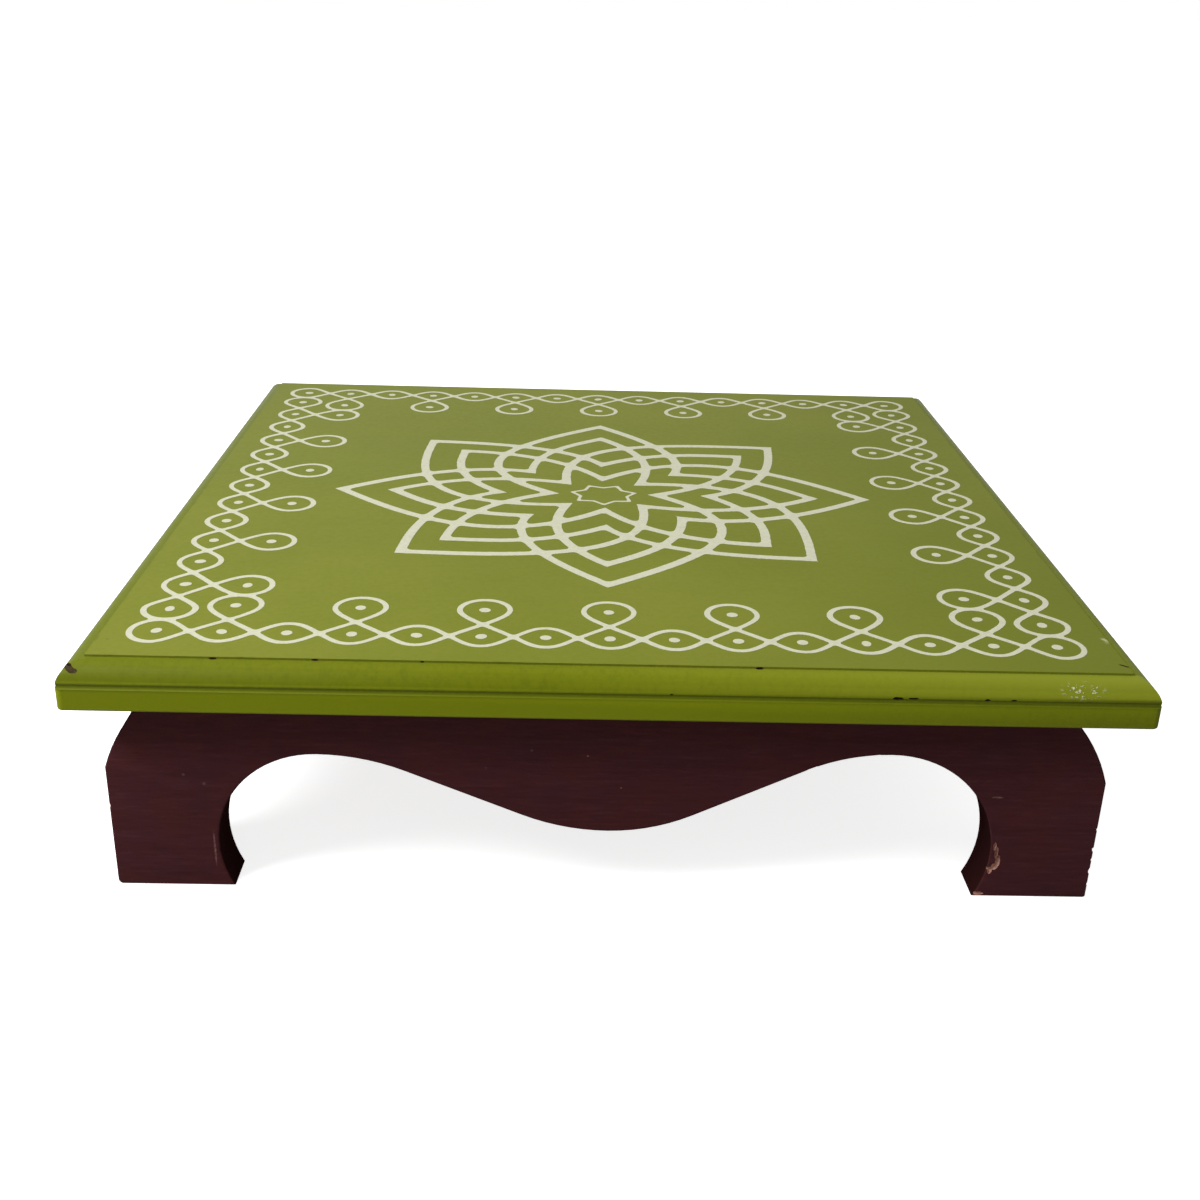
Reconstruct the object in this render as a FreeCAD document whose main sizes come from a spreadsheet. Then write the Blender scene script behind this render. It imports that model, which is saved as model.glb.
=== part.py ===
import FreeCAD, Part
import math
import os
import Sketcher

# A low square table (bajot): a moulded wooden top on a base of four scalloped boards.
# Millimetres, +Z up. The origin is on the floor, under the middle of the table.
# X runs along the front board, and the front of the table faces -Y.

doc = FreeCAD.newDocument("low_table")

SIZES = [
    # the top board
    ("top_side", 381.0, "side of the square top"),
    ("top_thickness", 17.5, "thickness of the top board"),
    ("corner_round", 2.5, "sanded round of the top's four corners"),
    ("quirk_drop", 0.9, "small step between the flat top and the ovolo"),
    ("ovolo_radius", 8.5, "radius of the moulded edge"),
    ("ovolo_turn_share", 0.85, "share of a quarter turn that the ovolo makes"),
    ("ovolo_inset", 0.6, "how far the ovolo's foot stays behind the lower band"),
    ("cove_height", 1.9, "height of the shallow hollow under the ovolo"),
    ("cove_depth", 0.45, "depth of that hollow"),
    ("top_arris", 0.8, "softened lower edge of the top"),
    # the base as a whole
    ("top_overhang", 10.5, "from the base's front and ends to the edge of the top"),
    ("base_height", 77.0, "floor to the underside of the top"),
    ("board_thickness", 17.0, "thickness of the four boards"),
    ("side_setback", 8.0, "from the ends of the front board to the side board's face"),
    ("board_arris", 0.8, "softened edges of the boards"),
    # the scalloped outline, the same on all four boards
    ("leg_waist", 38.5, "width of a leg at its narrowest"),
    ("waist_height", 18.9, "height of that narrowest place above the floor"),
    ("toe_flare", 4.5, "how far the toe points out from the waist"),
    ("crown_depth_left", 21.4, "wood above the left arch, which was sawn a little lower"),
    ("crown_depth_right", 17.8, "wood above the right arch"),
    ("pendant_depth", 51.3, "depth of the board at its middle"),
    ("sweep_share", 0.415, "bend of the curve from pendant to arch: 0 a ramp, 1 two plain arcs"),
    # the sawn shoulders at the ends of the front and back boards
    ("shoulder_inset", 17.5, "how far the shoulder draws in under the top"),
    ("shoulder_drop", 28.0, "height of the shoulder"),
    ("shoulder_radius", 66.0, "radius of the shoulder"),
    # corner blocks and the screws that hold the top
    ("block_side", 24.0, "side of a corner block"),
    ("block_height", 30.0, "height of a corner block"),
    ("block_bevel_share", 0.5, "share of the block's side that its bevelled corner takes"),
    ("screw_diameter", 4.0, "screw's outer diameter"),
    ("screw_head", 8.0, "diameter of the countersunk head"),
    ("screw_clearance", 0.3, "added to the screw's diameter for its hole in the block"),
    ("screw_bite_share", 0.6, "share of the top's thickness that a screw goes into"),
    ("screw_place_share", 0.42, "place of the screw, as a share of the block's side"),
    ("cross_width", 1.0, "width of the slots of the cross in a screw's head"),
    ("cross_share", 0.6, "share of the head that the cross spans"),
    # the dowels between the boards
    ("dowel_diameter", 6.0, "diameter of a dowel"),
    ("hole_gap", 0.5, "room past the end of each dowel and screw"),
    ("dowel_front_share", 0.6, "share of the front board's thickness that a dowel enters"),
    ("dowel_side_share", 0.75, "share of the side board's leg that a dowel enters"),
    ("dowel_low_share", 0.35, "height of the lower dowels, as a share of the base"),
    ("dowel_high_share", 0.85, "height of the upper dowels, as a share of the base"),
    # how far a cut runs past the wood
    ("overrun", 5.0, "how far cuts run past the wood"),
]

sheet = doc.addObject("Spreadsheet::Sheet", "Sizes")
for row, (alias, value, meaning) in enumerate(SIZES, start=1):
    sheet.set(f"A{row}", meaning)
    sheet.set(f"B{row}", str(value))
    sheet.setAlias(f"B{row}", alias)
doc.recompute()

# Sizes worked out from the driving ones, written as the expressions that the features use.
HALF_TOP = "Sizes.top_side / 2"
HALF_BASE = "(Sizes.top_side / 2 - Sizes.top_overhang)"
OVOLO_TURN = "(90 * Sizes.ovolo_turn_share * 1 deg)"
OVOLO_REACH = f"(Sizes.ovolo_radius * sin({OVOLO_TURN}))"
OVOLO_DROP = f"(Sizes.ovolo_radius * (1 - cos({OVOLO_TURN})))"
WAIST = f"({HALF_BASE} - Sizes.leg_waist)"
INNER_FACE = f"({HALF_BASE} - Sizes.board_thickness)"
SIDE_FACE = f"({HALF_BASE} - Sizes.side_setback)"
SIDE_INNER_FACE = f"({SIDE_FACE} - Sizes.board_thickness)"
SCREW_BITE = "Sizes.top_thickness * Sizes.screw_bite_share"
SCREW_INSET = "Sizes.block_side * Sizes.screw_place_share"
SCREW_X = f"({SIDE_INNER_FACE} - {SCREW_INSET})"
SCREW_Y = f"({INNER_FACE} - {SCREW_INSET})"
HEAD_DROP = "(Sizes.screw_head - Sizes.screw_diameter) / 2"
DOWEL_X = f"({SIDE_FACE} - Sizes.board_thickness / 2)"
DOWEL_IN_FRONT = "Sizes.board_thickness * Sizes.dowel_front_share"
DOWEL_IN_SIDE = "(Sizes.leg_waist - Sizes.board_thickness) * Sizes.dowel_side_share"
DOWEL_HEIGHTS = {
    "low": "Sizes.base_height * Sizes.dowel_low_share",
    "high": "Sizes.base_height * Sizes.dowel_high_share",
}

ORIGIN = (-1, 1)    # a sketch's own origin, as the constraints name it
START, END, CENTRE = 1, 2, 3

bodies = []


def worked_out(expression):
    """An expression's value, in millimetres or, for an angle, in degrees."""
    answer = sheet.evalExpression(expression.replace("Sizes.", ""))
    return float(getattr(answer, "Value", answer))


def new_body(label):
    body = doc.addObject("PartDesign::Body", label)
    body.Label = label
    bodies.append(body)
    return body


def turned(angle):
    """A placement that only turns a body about the upright axis, in degrees."""
    return FreeCAD.Placement(FreeCAD.Vector(), FreeCAD.Rotation(FreeCAD.Vector(0, 0, 1), angle))


def origin_feature(body, role):
    return next(f for f in body.Origin.OriginFeatures if f.Role == role)


def new_sketch(body, name, role, offset=None, seen_from_behind=False):
    """A sketch on one of the body's origin planes, or that far along the plane's normal."""
    sketch = body.newObject("Sketcher::SketchObject", name)
    sketch.AttachmentSupport = [(origin_feature(body, role), "")]
    sketch.MapMode = "FlatFace"
    if seen_from_behind:
        half_turn = FreeCAD.Rotation(FreeCAD.Vector(0, 1, 0), 180)
        sketch.AttachmentOffset = FreeCAD.Placement(FreeCAD.Vector(), half_turn)
    if offset:
        sketch.setExpression("AttachmentOffset.Base.z", offset)
    return sketch


def dimension(sketch, name, kind, places, expression):
    """Holds a place or radius of the sketch at what the expression gives."""
    value = worked_out(expression)
    if kind == "Angle":
        value = math.radians(value)
    sketch.addConstraint(Sketcher.Constraint(kind, *places, value))
    sketch.renameConstraint(sketch.ConstraintCount - 1, name)
    sketch.setExpression("Constraints." + name, expression)


def hold_point(sketch, name, curve, end, x, y):
    dimension(sketch, name + "_x", "DistanceX", (*ORIGIN, curve, end), x)
    dimension(sketch, name + "_y", "DistanceY", (*ORIGIN, curve, end), y)


def draw_polygon(sketch, corners):
    """A closed outline of straight lines; each corner is a name with its two expressions."""
    places = [FreeCAD.Vector(worked_out(x), worked_out(y), 0) for _, x, y in corners]
    for here, there in zip(places, places[1:] + places[:1]):
        sketch.addGeometry(Part.LineSegment(here, there), False)
    count = len(corners)
    for line in range(count):
        sketch.addConstraint(Sketcher.Constraint("Coincident", line, END, (line + 1) % count, START))
    for line, (name, x, y) in enumerate(corners):
        hold_point(sketch, name, line, START, x, y)


def arc(centre, radius, first, last):
    """A round stretch, turning left from the first to the last angle, in degrees."""
    circle = Part.Circle(centre, FreeCAD.Vector(0, 0, 1), radius)
    return Part.ArcOfCircle(circle, math.radians(first), math.radians(last))


def draw_circles(sketch, places, diameter):
    """Circles at named places, all of one diameter."""
    for number, (name, x, y) in enumerate(places):
        centre = FreeCAD.Vector(worked_out(x), worked_out(y), 0)
        circle = Part.Circle(centre, FreeCAD.Vector(0, 0, 1), worked_out(diameter) / 2)
        sketch.addGeometry(circle, False)
        hold_point(sketch, name, number, CENTRE, x, y)
        dimension(sketch, name + "_diameter", "Diameter", (number,), diameter)


def pad(body, name, sketch, length, backwards=False):
    feature = body.newObject("PartDesign::Pad", name)
    feature.Profile = sketch
    feature.setExpression("Length", length)
    feature.Reversed = backwards
    doc.recompute()
    return feature


def pocket(body, name, sketch, length=None, backwards=False):
    """Cuts the sketch out of the body, to a depth or, without one, all the way both ways."""
    before = body.Tip.Shape.Volume
    feature = body.newObject("PartDesign::Pocket", name)
    feature.Profile = sketch
    feature.Reversed = backwards
    if length:
        feature.setExpression("Length", length)
    else:
        feature.SideType = "Two sides"
        feature.Type = "ThroughAll"
        feature.Type2 = "ThroughAll"
    doc.recompute()
    if feature.Shape.Volume >= before:
        raise ValueError(f"{body.Label}: {name} cuts nothing")
    return feature


def mirrored(body, name, features, role):
    """Repeats cuts on the far side of one of the body's origin planes."""
    feature = body.newObject("PartDesign::Mirrored", name)
    feature.Originals = features
    feature.MirrorPlane = (origin_feature(body, role), [""])
    body.Tip = feature
    doc.recompute()
    return feature


def both_ways(body, name, features):
    """Repeats one corner's features at the other three corners."""
    group = body.newObject("PartDesign::MultiTransform", name)
    group.Originals = features
    steps = []
    for role in ("YZ_Plane", "XZ_Plane"):
        step = body.newObject("PartDesign::Mirrored", name + role[:2])
        step.MirrorPlane = (origin_feature(body, role), [""])
        steps.append(step)
    group.Transformations = steps
    body.Tip = group
    doc.recompute()
    return group


def dress(body, name, kind, size, chosen):
    """A fillet or a chamfer on the edges of the body's shape that the test chooses."""
    base = body.Tip
    edges = [f"Edge{i}" for i, edge in enumerate(base.Shape.Edges, start=1) if chosen(edge)]
    feature = body.newObject("PartDesign::" + kind, name)
    feature.Base = (base, edges)
    feature.setExpression("Radius" if kind == "Fillet" else "Size", size)
    doc.recompute()
    return feature


def lies_at(edge, axis, place):
    """Whether all of an edge lies in one plane square to an axis."""
    box = edge.BoundBox
    low = getattr(box, axis + "Min")
    high = getattr(box, axis + "Max")
    return math.isclose(low, place, abs_tol=1e-4) and math.isclose(high, place, abs_tol=1e-4)


# The top: one square board. Its four edges are moulded with the same cutter, so the
# profile meets in a mitre at each corner.

top = new_body("top_board")
top.setExpression("Placement.Base.z", "Sizes.base_height")

outline = new_sketch(top, "TopOutline", "XY_Plane")
draw_polygon(outline, [
    ("front_left", f"-{HALF_TOP}", f"-{HALF_TOP}"),
    ("front_right", HALF_TOP, f"-{HALF_TOP}"),
    ("back_right", HALF_TOP, HALF_TOP),
    ("back_left", f"-{HALF_TOP}", HALF_TOP),
])
pad(top, "TopBlank", outline, "Sizes.top_thickness")


def is_upright(edge):
    box = edge.BoundBox
    return box.ZLength > 0 and math.isclose(box.XLength + box.YLength, 0, abs_tol=1e-6)


dress(top, "TopCorners", "Fillet", "Sizes.corner_round", is_upright)


def draw_moulding(sketch):
    """What the cutter takes off one edge: the quirk, the ovolo and the cove below it."""
    foot_x = f"{HALF_TOP} - Sizes.ovolo_inset"
    inner = f"{foot_x} - {OVOLO_REACH}"
    past_edge = f"{HALF_TOP} + Sizes.overrun"
    past_top = "Sizes.top_thickness + Sizes.overrun"
    quirk = "Sizes.top_thickness - Sizes.quirk_drop"
    foot_y = f"{quirk} - {OVOLO_DROP}"
    band_top = f"{foot_y} - Sizes.cove_height"
    line_corners = [
        ("band", HALF_TOP, band_top),
        ("outer_low", past_edge, band_top),
        ("outer_high", past_edge, past_top),
        ("inner_high", inner, past_top),
        ("quirk", inner, quirk),
    ]
    places = [FreeCAD.Vector(worked_out(x), worked_out(y), 0) for _, x, y in line_corners]
    for here, there in zip(places, places[1:]):
        sketch.addGeometry(Part.LineSegment(here, there), False)
    last_line = len(places) - 2

    radius = worked_out("Sizes.ovolo_radius")
    centre = places[-1] - FreeCAD.Vector(0, radius, 0)
    turn = worked_out(OVOLO_TURN)
    ovolo = sketch.addGeometry(arc(centre, radius, 90 - turn, 90), False)

    foot = FreeCAD.Vector(worked_out(foot_x), worked_out(foot_y), 0)
    chord = "(Sizes.ovolo_inset ^ 2 + Sizes.cove_height ^ 2)"
    cove_radius = f"({chord} / 4 + Sizes.cove_depth ^ 2) / (2 * Sizes.cove_depth)"
    across = FreeCAD.Vector(foot.y - places[0].y, places[0].x - foot.x, 0).normalize()
    deepest = (foot + places[0]) / 2 - across * worked_out("Sizes.cove_depth")
    cove = sketch.addGeometry(Part.Arc(places[0], deepest, foot), False)

    for line in range(last_line):
        sketch.addConstraint(Sketcher.Constraint("Coincident", line, END, line + 1, START))
    sketch.addConstraint(Sketcher.Constraint("Coincident", last_line, END, ovolo, END))
    ends = (START, END) if sketch.getPoint(cove, START).isEqual(places[0], 1e-6) else (END, START)
    sketch.addConstraint(Sketcher.Constraint("Coincident", cove, ends[0], 0, START))
    sketch.addConstraint(Sketcher.Constraint("Coincident", cove, ends[1], ovolo, START))
    hold_point(sketch, "band", 0, START, HALF_TOP, band_top)
    for line, (name, x, y) in enumerate(line_corners[1:]):
        hold_point(sketch, name, line, END, x, y)
    sketch.addConstraint(Sketcher.Constraint("Vertical", ovolo, CENTRE, ovolo, END))
    dimension(sketch, "ovolo", "Radius", (ovolo,), "Sizes.ovolo_radius")
    dimension(sketch, "ovolo_foot", "DistanceX", (*ORIGIN, ovolo, START), foot_x)
    dimension(sketch, "cove", "Radius", (cove,), cove_radius)


moulding = new_sketch(top, "MouldingCutter", "XZ_Plane")
draw_moulding(moulding)
first_pass = pocket(top, "MouldingPass", moulding)
passes = top.newObject("PartDesign::PolarPattern", "FourPasses")
passes.Originals = [first_pass]
passes.Axis = (origin_feature(top, "Z_Axis"), [""])
passes.Angle = 360
passes.Occurrences = 4
top.Tip = passes
doc.recompute()

pilots = new_sketch(top, "PilotHoles", "XY_Plane")
draw_circles(pilots, [("pilot", SCREW_X, SCREW_Y)], "Sizes.screw_diameter")
pilot = pocket(top, "Pilot", pilots, f"{SCREW_BITE} + Sizes.hole_gap", backwards=True)


both_ways(top, "FourPilots", [pilot])


def is_lower_edge(edge):
    """The outline of the underside, without the rims of the pilot holes."""
    reach = worked_out(f"{HALF_TOP} - Sizes.top_overhang")
    far = max(abs(edge.CenterOfMass.x), abs(edge.CenterOfMass.y)) > reach
    return lies_at(edge, "Z", 0) and far


dress(top, "TopLowerEdge", "Fillet", "Sizes.top_arris", is_lower_edge)


# The base: front and back boards run the full length and have the sawn shoulders. The
# side boards stand between them, a little behind their ends, with the same scallops.

def draw_scallop(sketch, half):
    """One half of the opening under a board, drawn to the right: pendant, arch, leg and toe."""
    crown_height = f"(Sizes.base_height - Sizes.crown_depth_{half})"
    pendant_height = "(Sizes.base_height - Sizes.pendant_depth)"
    haunch_radius = f"({crown_height} - Sizes.waist_height)"
    crown_place = f"({WAIST} - {haunch_radius})"
    drop_below_crown = f"(Sizes.pendant_depth - Sizes.crown_depth_{half})"
    ramp_slope = f"(1 + Sizes.sweep_share) * atan({drop_below_crown} / {crown_place})"

    crown = worked_out(crown_height)
    crown_x = worked_out(crown_place)
    pendant = worked_out(pendant_height)
    haunch = worked_out(haunch_radius)
    waist = worked_out(WAIST)
    waist_height = worked_out("Sizes.waist_height")
    flare = worked_out("Sizes.toe_flare")
    sweep = worked_out(ramp_slope)
    slope = math.radians(sweep)
    reach = crown_x * math.sin(slope) - worked_out(drop_below_crown) * math.cos(slope)
    bend = reach / (1 - math.cos(slope)) / 2
    flare_radius = (waist_height ** 2 + flare ** 2) / (2 * flare)

    foot = FreeCAD.Vector(0, 0, 0)
    low = FreeCAD.Vector(0, pendant, 0)
    bend_end = FreeCAD.Vector(bend * math.sin(slope), bend * (1 - math.cos(slope)), 0)
    ramp_low = low + bend_end
    ramp_high = FreeCAD.Vector(crown_x, crown, 0) - bend_end
    toe = FreeCAD.Vector(waist - flare, 0, 0)
    toe_angle = math.degrees(math.atan2(waist_height, flare_radius - flare))
    pendant_arc = arc(low + FreeCAD.Vector(0, bend, 0), bend, -90, sweep - 90)
    crest_arc = arc(FreeCAD.Vector(crown_x, crown - bend, 0), bend, 90, 90 + sweep)
    haunch_arc = arc(FreeCAD.Vector(crown_x, waist_height, 0), haunch, 0, 90)
    toe_arc = arc(FreeCAD.Vector(waist - flare_radius, waist_height, 0), flare_radius, -toe_angle, 0)

    middle = sketch.addGeometry(Part.LineSegment(foot, low), False)
    hang = sketch.addGeometry(pendant_arc, False)
    ramp = sketch.addGeometry(Part.LineSegment(ramp_low, ramp_high), False)
    crest = sketch.addGeometry(crest_arc, False)
    side = sketch.addGeometry(haunch_arc, False)
    toe_curve = sketch.addGeometry(toe_arc, False)
    floor = sketch.addGeometry(Part.LineSegment(toe, foot), False)

    def tie(kind, *places):
        sketch.addConstraint(Sketcher.Constraint(kind, *places))

    tie("Coincident", middle, START, *ORIGIN)
    tie("Vertical", middle)
    tie("Coincident", middle, END, hang, START)
    tie("Tangent", hang, END, ramp, START)
    tie("Tangent", ramp, END, crest, END)
    tie("Tangent", crest, START, side, END)
    tie("Tangent", side, START, toe_curve, END)
    tie("Coincident", toe_curve, START, floor, START)
    tie("Coincident", floor, END, *ORIGIN)
    tie("Horizontal", floor)
    tie("Vertical", hang, CENTRE, hang, START)
    tie("Vertical", crest, START, side, CENTRE)
    tie("Horizontal", side, START, side, CENTRE)
    tie("Equal", hang, crest)
    dimension(sketch, "pendant_height", "DistanceY", (*ORIGIN, middle, END), pendant_height)
    dimension(sketch, "crown_height", "DistanceY", (*ORIGIN, side, END), crown_height)
    dimension(sketch, "haunch", "Radius", (side,), haunch_radius)
    dimension(sketch, "waist", "DistanceX", (*ORIGIN, side, START), WAIST)
    dimension(sketch, "toe", "DistanceX", (*ORIGIN, floor, START), f"{WAIST} - Sizes.toe_flare")
    dimension(sketch, "slope", "Angle", (ramp,), ramp_slope)


def draw_shoulder(sketch):
    """The corner that is sawn off above each front and back leg."""
    corner = FreeCAD.Vector(worked_out(HALF_BASE), worked_out("Sizes.base_height"), 0)
    high = corner - FreeCAD.Vector(worked_out("Sizes.shoulder_inset"), 0, 0)
    low = corner - FreeCAD.Vector(0, worked_out("Sizes.shoulder_drop"), 0)
    radius = worked_out("Sizes.shoulder_radius")
    chord = low - high
    to_centre = FreeCAD.Vector(chord.y, -chord.x, 0).normalize()
    centre = (low + high) / 2 + to_centre * math.sqrt(radius ** 2 - (chord.Length / 2) ** 2)
    first = math.degrees(math.atan2(low.y - centre.y, low.x - centre.x))
    last = math.degrees(math.atan2(high.y - centre.y, high.x - centre.x))
    sketch.addGeometry(Part.LineSegment(high, corner), False)
    sketch.addGeometry(Part.LineSegment(corner, low), False)
    sketch.addGeometry(arc(centre, radius, first, last), False)
    sketch.addConstraint(Sketcher.Constraint("Coincident", 0, END, 1, START))
    sketch.addConstraint(Sketcher.Constraint("Coincident", 1, END, 2, START))
    sketch.addConstraint(Sketcher.Constraint("Coincident", 2, END, 0, START))
    sketch.addConstraint(Sketcher.Constraint("Horizontal", 0))
    sketch.addConstraint(Sketcher.Constraint("Vertical", 1))
    hold_point(sketch, "corner", 1, START, HALF_BASE, "Sizes.base_height")
    dimension(sketch, "inset", "DistanceX", (0, START, 0, END), "Sizes.shoulder_inset")
    dimension(sketch, "drop", "DistanceY", (1, END, 1, START), "Sizes.shoulder_drop")
    dimension(sketch, "round", "Radius", (2,), "Sizes.shoulder_radius")


def make_board(label, half_length, turn, place, shouldered):
    """One scalloped board. It is drawn with its outer face on the XZ plane, facing -Y."""
    body = new_body(label)
    body.Placement = turned(turn)
    axis, expression = place
    body.setExpression(f"Placement.Base.{axis}", expression)

    blank = new_sketch(body, label + "_blank", "XZ_Plane")
    draw_polygon(blank, [
        ("low_left", f"-{half_length}", "0"),
        ("low_right", half_length, "0"),
        ("high_right", half_length, "Sizes.base_height"),
        ("high_left", f"-{half_length}", "Sizes.base_height"),
    ])
    pad(body, label + "_board", blank, "Sizes.board_thickness", backwards=True)

    for half in ("right", "left"):
        scallop = new_sketch(body, f"{label}_{half}_scallop", "XZ_Plane", seen_from_behind=half == "left")
        draw_scallop(scallop, half)
        pocket(body, f"{label}_{half}_cut", scallop)
    if shouldered:
        shoulder = new_sketch(body, label + "_shoulder", "XZ_Plane")
        draw_shoulder(shoulder)
        shoulder_cut = pocket(body, label + "_shoulder_cut", shoulder)
        mirrored(body, label + "_other_shoulder", [shoulder_cut], "YZ_Plane")

    drill_plane, drill_offset, hole_x = ("XZ_Plane", "-Sizes.board_thickness", DOWEL_X)
    depth = f"{DOWEL_IN_FRONT} + Sizes.hole_gap"
    if not shouldered:
        drill_plane, drill_offset, hole_x = ("YZ_Plane", half_length, "Sizes.board_thickness / 2")
        depth = f"{DOWEL_IN_SIDE} + Sizes.hole_gap"
    drill = new_sketch(body, label + "_dowel_holes", drill_plane, drill_offset)
    draw_circles(drill, [(name, hole_x, height) for name, height in DOWEL_HEIGHTS.items()],
                 "Sizes.dowel_diameter")
    holes = pocket(body, label + "_dowel_bore", drill, depth, backwards=shouldered)
    mirrored(body, label + "_other_dowels", [holes], "YZ_Plane")

    thickness = worked_out("Sizes.board_thickness")
    height = worked_out("Sizes.base_height")
    end = worked_out(half_length)

    def is_arris(edge):
        """Edges round the two faces, but not at the top, at a butt joint or round a bore."""
        on_face = lies_at(edge, "Y", 0) or lies_at(edge, "Y", thickness)
        at_joint = not shouldered and (lies_at(edge, "X", end) or lies_at(edge, "X", -end))
        return on_face and not lies_at(edge, "Z", height) and not at_joint and not edge.isClosed()

    dress(body, label + "_arris", "Fillet", "Sizes.board_arris", is_arris)
    return body


make_board("front_board", HALF_BASE, 0, ("y", f"-{HALF_BASE}"), shouldered=True)
make_board("back_board", HALF_BASE, 180, ("y", HALF_BASE), shouldered=True)
make_board("left_board", INNER_FACE, -90, ("x", f"-{SIDE_FACE}"), shouldered=False)
make_board("right_board", INNER_FACE, 90, ("x", SIDE_FACE), shouldered=False)


# Corner blocks: glued into the angle of two boards, under the top, with the inner corner
# bevelled off. A screw goes up through each block into the top.

def make_block(label, turn, x, y):
    body = new_body(label)
    body.Placement = turned(turn)
    body.setExpression("Placement.Base.x", x)
    body.setExpression("Placement.Base.y", y)
    body.setExpression("Placement.Base.z", "Sizes.base_height - Sizes.block_height")
    short = "Sizes.block_side * (1 - Sizes.block_bevel_share)"
    plan = new_sketch(body, label + "_plan", "XY_Plane")
    draw_polygon(plan, [
        ("heel", "0", "0"),
        ("one_wing", "Sizes.block_side", "0"),
        ("one_bevel", "Sizes.block_side", short),
        ("other_bevel", short, "Sizes.block_side"),
        ("other_wing", "0", "Sizes.block_side"),
    ])
    pad(body, label + "_block", plan, "Sizes.block_height")
    bore_outline = new_sketch(body, label + "_bore_outline", "XY_Plane")
    bore_size = "Sizes.screw_diameter + Sizes.screw_clearance"
    draw_circles(bore_outline, [("screw", SCREW_INSET, SCREW_INSET)], bore_size)
    pocket(body, label + "_bore", bore_outline)

    def is_lower_rim(edge):
        return edge.isClosed() and lies_at(edge, "Z", 0)

    dress(body, label + "_countersink", "Chamfer", HEAD_DROP, is_lower_rim)
    return body


make_block("front_left_block", 0, f"-{SIDE_INNER_FACE}", f"-{INNER_FACE}")
make_block("front_right_block", 90, SIDE_INNER_FACE, f"-{INNER_FACE}")
make_block("back_right_block", 180, SIDE_INNER_FACE, INNER_FACE)
make_block("back_left_block", 270, f"-{SIDE_INNER_FACE}", INNER_FACE)


# The four screws that hold the top, turned on a lathe in one go: head, shank and point.

screws = new_body("top_screws")
screws.AllowCompound = True
screws.setExpression("Placement.Base.z", "Sizes.base_height - Sizes.block_height")
turning = new_sketch(screws, "ScrewSection", "XZ_Plane", f"-{SCREW_Y}")
shank = "Sizes.screw_diameter / 2"
tip = f"Sizes.block_height + {SCREW_BITE}"
draw_polygon(turning, [
    ("head_middle", SCREW_X, "0"),
    ("head_edge", f"{SCREW_X} + Sizes.screw_head / 2", "0"),
    ("neck", f"{SCREW_X} + {shank}", HEAD_DROP),
    ("shank_end", f"{SCREW_X} + {shank}", f"{tip} - {shank}"),
    ("tip", SCREW_X, tip),
])
screw = screws.newObject("PartDesign::Revolution", "Screw")
screw.Profile = turning
screw.ReferenceAxis = (turning, ["Edge5"])
screw.Angle = 360
doc.recompute()

cross = new_sketch(screws, "CrossSlots", "XY_Plane")
reach = "Sizes.screw_head * Sizes.cross_share / 2"
slot = "Sizes.cross_width / 2"
CROSS_OUTLINE = [
    ("a", f"+ {reach}", f"- {slot}"), ("b", f"+ {reach}", f"+ {slot}"),
    ("c", f"+ {slot}", f"+ {slot}"), ("d", f"+ {slot}", f"+ {reach}"),
    ("e", f"- {slot}", f"+ {reach}"), ("f", f"- {slot}", f"+ {slot}"),
    ("g", f"- {reach}", f"+ {slot}"), ("h", f"- {reach}", f"- {slot}"),
    ("i", f"- {slot}", f"- {slot}"), ("j", f"- {slot}", f"- {reach}"),
    ("k", f"+ {slot}", f"- {reach}"), ("l", f"+ {slot}", f"- {slot}"),
]
draw_polygon(cross, [(name, f"{SCREW_X} {x}", f"{SCREW_Y} {y}") for name, x, y in CROSS_OUTLINE])
slots = pocket(screws, "Cross", cross, HEAD_DROP, backwards=True)

both_ways(screws, "FourScrews", [screw, slots])


# Dowels between the front or back board and the ends of the side boards, two to a joint.

dowels = new_body("joint_dowels")
dowels.AllowCompound = True
ends = new_sketch(dowels, "DowelEnds", "XZ_Plane", f"{INNER_FACE} + {DOWEL_IN_FRONT}")
draw_circles(ends, [(name, DOWEL_X, height) for name, height in DOWEL_HEIGHTS.items()],
             "Sizes.dowel_diameter")
pair = pad(dowels, "DowelPair", ends, f"{DOWEL_IN_FRONT} + {DOWEL_IN_SIDE}", backwards=True)
both_ways(dowels, "FourPairs", [pair])


# Every feature has to be sound, and every piece a closed solid, before anything is written.

doc.recompute()
for feature in doc.Objects:
    if "Invalid" in feature.State or "Error" in feature.State:
        raise ValueError(f"{feature.Label} failed")
for body in bodies:
    shape = body.Shape
    if shape.isNull() or not shape.isValid() or not shape.Solids:
        raise ValueError(f"{body.Label} is not a sound solid")

os.makedirs("parts", exist_ok=True)
for body in bodies:
    body.Shape.exportStep(f"parts/{body.Label}.step")
    box = body.Shape.BoundBox
    print(f"{body.Label}: {len(body.Shape.Solids)} solid(s), {body.Shape.Volume / 1000:.1f} cm3,",
          f"z {box.ZMin:.2f} to {box.ZMax:.2f}")
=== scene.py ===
# %% [markdown]
# A low table with a painted top.
# This lesson dresses a small table for sitting on the floor. The top is a thick board in green enamel
# with a white kolam, which is a drawing made of lines that wind round a grid of dots. The base is four
# scalloped boards under dark maroon paint. The joinery is already solid geometry, so what is left to
# do is paint, wear, light and a camera.

# %% The table as it was built
import math
import random
import bpy
from mathutils import Matrix, Vector


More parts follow.
